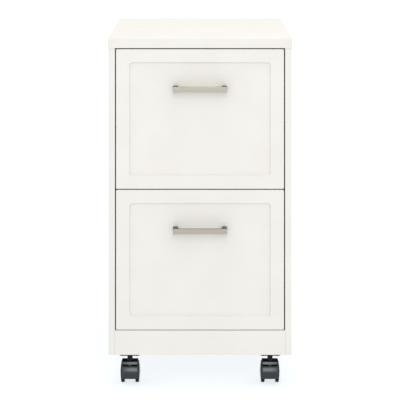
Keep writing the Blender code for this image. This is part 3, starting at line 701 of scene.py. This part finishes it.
# half the wheel's section, from the middle of its outer face round the tread to the blind bore
def wheelProfile(width):
    radius, soft, dome = caster["wheel"], wheel["shoulder"], wheel["dome"]
    top, cap, deep = width + dome, wheel["capRadius"], wheel["capDeep"]
    face = [(0, top), (cap - deep, top), (cap, top - deep), (cap + 2 * deep, top - deep)]
    face.append((cap + 3 * deep, width + dome * 0.86))
    for share in (0.42, 0.55, 0.66, 0.75, 0.82):
        face.append((share * radius, width + dome * (1 - (share / wheel["faceEdge"]) ** 2.2)))
    face += [(radius * 0.86, width + 0.0001), (radius * 0.88, width - 0.0003)]
    face.append((radius * wheel["faceEdge"], width))
    outer = arcPoints((radius - soft, width - soft), soft, 90, 0, 5)
    inner = arcPoints((radius - soft, soft), soft, 0, -90, 5)
    hollow = [(radius * 0.84, 0), (radius * 0.82, wheel["hollow"])]
    hollow += [(wheel["hub"], wheel["hollow"]), (wheel["hub"], 0)]
    bore = [(wheel["bore"], 0), (wheel["bore"], width - wheel["boreEnd"]), (0, width - wheel["boreEnd"])]
    return face + outer + inner + hollow + bore


for place in casters:
    axle = axleOf(place)
    for hand, sign in sides.items():
        node = f"wheel_{place}_{hand}"
        low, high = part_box(node)
        near = low.x if sign > 0 else high.x
        width = high.x - low.x - wheel["dome"]
        matrix = Matrix.Translation((near, axle.y, axle.z)) @ Matrix.Rotation(sign * math.pi / 2, 4, "Y")
        mesh = turnedMesh(node, wheelProfile(width), wheel["steps"], matrix)
        addPiece(f"{node}_finished", mesh, bodyOf[node], "black_nylon", treadNylon, [node], 40)
        mesh.materials.append(hoodNylon)
        for face in mesh.polygons:
            point = face.center - axle
            face.material_index = int(math.hypot(point.y, point.z) < wheel["faceEdge"] * caster["wheel"])
print("wheels finished")


# ---- geometry node trees for what repeats
kinds = {
    "float": "NodeSocketFloat", "count": "NodeSocketInt", "vector": "NodeSocketVector",
    "material": "NodeSocketMaterial", "flag": "NodeSocketBool",
}


# a tree with named inputs; returns it with its input node
def newTree(name, inputs):
    made = bpy.data.node_groups.new(name, "GeometryNodeTree")
    made.interface.new_socket("Geometry", in_out="OUTPUT", socket_type="NodeSocketGeometry")
    for label, kind in inputs.items():
        made.interface.new_socket(label, in_out="INPUT", socket_type=kinds[kind])
    return made, addNode(made, "NodeGroupInput").outputs


# ends a tree: real geometry, one material
def endTree(tree, geometry, material):
    real = addNode(tree, "GeometryNodeRealizeInstances", {"Geometry": geometry})
    painted = addNode(tree, "GeometryNodeSetMaterial", {"Geometry": real.outputs[0], "Material": material})
    end = addNode(tree, "NodeGroupOutput")
    tree.links.new(painted.outputs[0], end.inputs[0])


# runs a tree once for each set of values and joins the results into one plain mesh
def runTree(tree, name, runs):
    identifiers = {s.name: s.identifier for s in tree.interface.items_tree if s.in_out == "INPUT"}
    shape = bmesh.new()
    for values in runs:
        holder = bpy.data.objects.new(name, bpy.data.meshes.new(name))
        modifier = holder.modifiers.new("nodes", "NODES")
        modifier.node_group = tree
        for label, value in values.items():
            modifier[identifiers[label]] = value
        bpy.context.scene.collection.objects.link(holder)
        bpy.context.view_layer.update()
        graph = bpy.context.evaluated_depsgraph_get()
        result = bpy.data.meshes.new_from_object(holder.evaluated_get(graph))
        holder.modifiers.clear()
        bpy.data.objects.remove(holder)
        shape.from_mesh(result)
        bpy.data.meshes.remove(result)
    return meshOf(name, shape)


# rows of balls between a slide's members
ballRows, put = newTree("ballRows", {
    "Start": "vector", "Pitch": "float", "Count": "count", "Rise": "float", "Radius": "float",
    "Steel": "material",
})
step = addNode(ballRows, "ShaderNodeCombineXYZ", {"Y": put["Pitch"]})
lift = addNode(ballRows, "ShaderNodeCombineXYZ", {"Z": put["Rise"]})
lowRow = addNode(ballRows, "GeometryNodeMeshLine", {
    "Count": put["Count"], "Start Location": put["Start"], "Offset": step.outputs[0],
})
highRow = addNode(ballRows, "GeometryNodeTransform", {
    "Geometry": lowRow.outputs[0], "Translation": lift.outputs[0],
})
rows = addNode(ballRows, "GeometryNodeJoinGeometry")
for row in (lowRow, highRow):
    ballRows.links.new(row.outputs[0], rows.inputs[0])
ball = addNode(ballRows, "GeometryNodeMeshUVSphere", {"Segments": 20, "Rings": 12, "Radius": put["Radius"]})
balls = addNode(ballRows, "GeometryNodeInstanceOnPoints", {
    "Points": rows.outputs[0], "Instance": ball.outputs[0],
})
endTree(ballRows, balls.outputs[0], put["Steel"])

ballSize = {
    "radius": 0.0031, "pitch": 0.0086, "count": 10, "endRoom": 0.0062,
    "halfSheet": 0.00045, "inwards": 0.0003,
}
for drawer in drawers:
    runs = []
    for side, sign in sides.items():
        cageLow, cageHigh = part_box(f"ball_cage_{drawer}_{side}")
        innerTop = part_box(f"slide_inner_{drawer}_{side}")[1].z
        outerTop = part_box(f"slide_outer_{drawer}_{side}")[1].z
        level = (innerTop + outerTop) / 2 - ballSize["halfSheet"]
        rise = 2 * (level - (cageLow.z + cageHigh.z) / 2)
        x = (cageLow.x + cageHigh.x) / 2 - sign * ballSize["inwards"]
        start = (x, cageLow.y + ballSize["endRoom"], level - rise)
        runs.append({
            "Start": start, "Pitch": ballSize["pitch"], "Count": ballSize["count"], "Rise": rise,
            "Radius": ballSize["radius"], "Steel": bearingSteel,
        })
    mesh = runTree(ballRows, f"balls_{drawer}", runs)
    addPiece(f"balls_{drawer}", mesh, f"{drawer}_ball_cages", "zinc_plate", bearingSteel, smoothAngle=60)
print("slide balls finished")

# a grid of fastener heads on a flat face, with a cross recess or plain: unit domes, cut flat and scaled
headShape = {"foot": -0.12, "top": 0.82, "crossLong": 1.05, "crossWide": 0.24, "crossLevel": 0.9}
heads, put = newTree("fastenerHeads", {
    "Start": "vector", "Across": "vector", "Along": "vector", "Across Count": "count", "Along Count": "count",
    "Turn": "vector", "Radius": "float", "Height": "float", "Recess": "flag", "Finish": "material",
})
line = addNode(heads, "GeometryNodeMeshLine", {"Count": put["Along Count"], "Offset": put["Along"]})
across = addNode(heads, "GeometryNodeMeshLine", {
    "Count": put["Across Count"], "Start Location": put["Start"], "Offset": put["Across"],
})
grid = addNode(heads, "GeometryNodeInstanceOnPoints", {
    "Points": across.outputs[0], "Instance": line.outputs[0],
})
points = addNode(heads, "GeometryNodeRealizeInstances", {"Geometry": grid.outputs[0]})
dome = addNode(heads, "GeometryNodeMeshUVSphere", {"Segments": 24, "Rings": 12, "Radius": 1.0})
place = addNode(heads, "GeometryNodeInputPosition")
parts = addNode(heads, "ShaderNodeSeparateXYZ", {"Vector": place.outputs[0]})
above = addNode(heads, "ShaderNodeMath", {0: parts.outputs["Z"], 1: headShape["foot"]}, operation="MAXIMUM")
lowered = addNode(heads, "ShaderNodeMath", {0: above.outputs[0], 1: headShape["top"]}, operation="MINIMUM")
flat = addNode(heads, "ShaderNodeCombineXYZ", {
    "X": parts.outputs["X"], "Y": parts.outputs["Y"], "Z": lowered.outputs[0],
})
cap = addNode(heads, "GeometryNodeSetPosition", {"Geometry": dome.outputs[0], "Position": flat.outputs[0]})
cut = addNode(heads, "GeometryNodeMeshBoolean", operation="DIFFERENCE")
heads.links.new(cap.outputs[0], cut.inputs["Mesh 1"])
for long, wide in (("crossLong", "crossWide"), ("crossWide", "crossLong")):
    slot = addNode(heads, "GeometryNodeMeshCube", {"Size": (headShape[long], headShape[wide], 1.0)})
    raised = addNode(heads, "GeometryNodeTransform", {
        "Geometry": slot.outputs[0], "Translation": (0, 0, headShape["crossLevel"]),
    })
    heads.links.new(raised.outputs[0], cut.inputs["Mesh 2"])
chosen = addNode(heads, "GeometryNodeSwitch", input_type="GEOMETRY")
for socket, source in (("Switch", put["Recess"]), ("False", cap.outputs[0]), ("True", cut.outputs["Mesh"])):
    heads.links.new(source, chosen.inputs[socket])
scale = addNode(heads, "ShaderNodeCombineXYZ", {"X": put["Radius"], "Y": put["Radius"], "Z": put["Height"]})
head = addNode(heads, "GeometryNodeTransform", {"Geometry": chosen.outputs[0], "Scale": scale.outputs[0]})
placed = addNode(heads, "GeometryNodeInstanceOnPoints", {
    "Points": points.outputs[0], "Instance": head.outputs[0], "Rotation": put["Turn"],
})
endTree(heads, placed.outputs[0], put["Finish"])
quarter = math.pi / 2
outwards = {"-Z": (math.pi, 0, 0), "+Y": (-quarter, 0, 0), "+X": (0, quarter, 0), "-X": (0, -quarter, 0)}


# the tree's inputs for a grid of heads: across and along are each a count and a step
def headRun(start, outward, size, finish, across, along=(1, (0, 0, 0)), recess=True):
    return {
        "Start": start, "Across": across[1], "Along": along[1],
        "Across Count": across[0], "Along Count": along[0],
        "Turn": outwards[outward], "Radius": size["radius"], "Height": size["height"], "Recess": recess,
        "Finish": finish,
    }


# four pan-head screws in each caster plate
screws = {
    "radius": 0.0034, "height": 0.0018, "centres": 0.028,
    "backInset": 0.008, "backEnds": 0.03, "backCount": 5,
}
runs = []
for place in casters:
    low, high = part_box(f"caster_plate_{place}")
    middle, step = (low + high) / 2, screws["centres"]
    start = (middle.x - step / 2, middle.y - step / 2, high.z - caster["plate"])
    runs.append(headRun(start, "-Z", screws, zincPlate, (2, (step, 0, 0)), (2, (0, step, 0))))
addPiece("caster_screws", runTree(heads, "caster_screws", runs), "cabinet", "zinc_plate", zincPlate)

# rivets through each drawer's side and its runner: painted heads inside the drawer, plated ones in the runner
rivets = {"count": 4, "ends": 0.03, "gap": 0.0003, "drawerSheet": 0.0007, "runnerSheet": 0.0009}
paintedHead = {"radius": 0.0028, "height": 0.0011}
platedHead = {"radius": 0.0032, "height": 0.0011}


# a row of heads on each side of a drawer, at this offset outwards from the runner's inner face
def rivetRuns(drawer, offset, facing, head, finish):
    runs = []
    for side, sign in sides.items():
        low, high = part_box(f"slide_inner_{drawer}_{side}")
        face = low.x if sign > 0 else high.x
        start = (face + sign * offset, low.y + rivets["ends"], (low.z + high.z) / 2)
        step = (high.y - low.y - 2 * rivets["ends"]) / (rivets["count"] - 1)
        outward = "+X" if sign * facing > 0 else "-X"
        runs.append(headRun(start, outward, head, finish, (rivets["count"], (0, step, 0)), recess=False))
    return runs


for drawer in drawers:
    body = f"{drawer}_drawer"
    inside = rivetRuns(drawer, -rivets["gap"] - rivets["drawerSheet"], -1, paintedHead, powderCoat)
    addPiece(f"runner_rivets_{drawer}", runTree(heads, "rivets", inside), body, "powder_coat", powderCoat)
    outside = rivetRuns(drawer, rivets["runnerSheet"], 1, platedHead, zincPlate)
    addPiece(f"runner_shanks_{drawer}", runTree(heads, "shanks", outside), body, "zinc_plate", zincPlate)

# pan-head screws that hold the back panel to the side panels' rear flanges
low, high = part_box("back_panel")
step = (high.z - low.z - 2 * screws["backEnds"]) / (screws["backCount"] - 1)
runs = []
for side, sign in sides.items():
    start = (sign * (high.x - screws["backInset"]), high.y, low.z + screws["backEnds"])
    runs.append(headRun(start, "+Y", screws, zincPlate, (screws["backCount"], (0, 0, step))))
addPiece("back_screws", runTree(heads, "back_screws", runs), "cabinet", "zinc_plate", zincPlate)
print("fasteners finished")

# ---- ground welds that close the joints between the kick panel and the posts
low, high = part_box("kick_panel")
weld = {"deep": 0.0005, "wide": 0.0008, "proud": 0.00002, "halfGap": 0.00015, "ground": 0.00012}
for side, sign in sides.items():
    shape = bmesh.new()
    size = Matrix.Diagonal((weld["wide"], weld["deep"], high.z - low.z, 1))
    x, y = sign * (high.x + weld["halfGap"]), low.y + weld["deep"] / 2 + weld["proud"]
    centre = (x, y, (low.z + high.z) / 2)
    bmesh.ops.create_cube(shape, size=1, matrix=Matrix.Translation(centre) @ size)
    bmesh.ops.bevel(
        shape, geom=shape.edges[:], offset=weld["ground"], segments=3, affect="EDGES", profile=0.5
    )
    addPiece(f"ground_weld_{side}", meshOf("weld", shape), "cabinet", "powder_coat")
print("welds finished")

low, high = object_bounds()
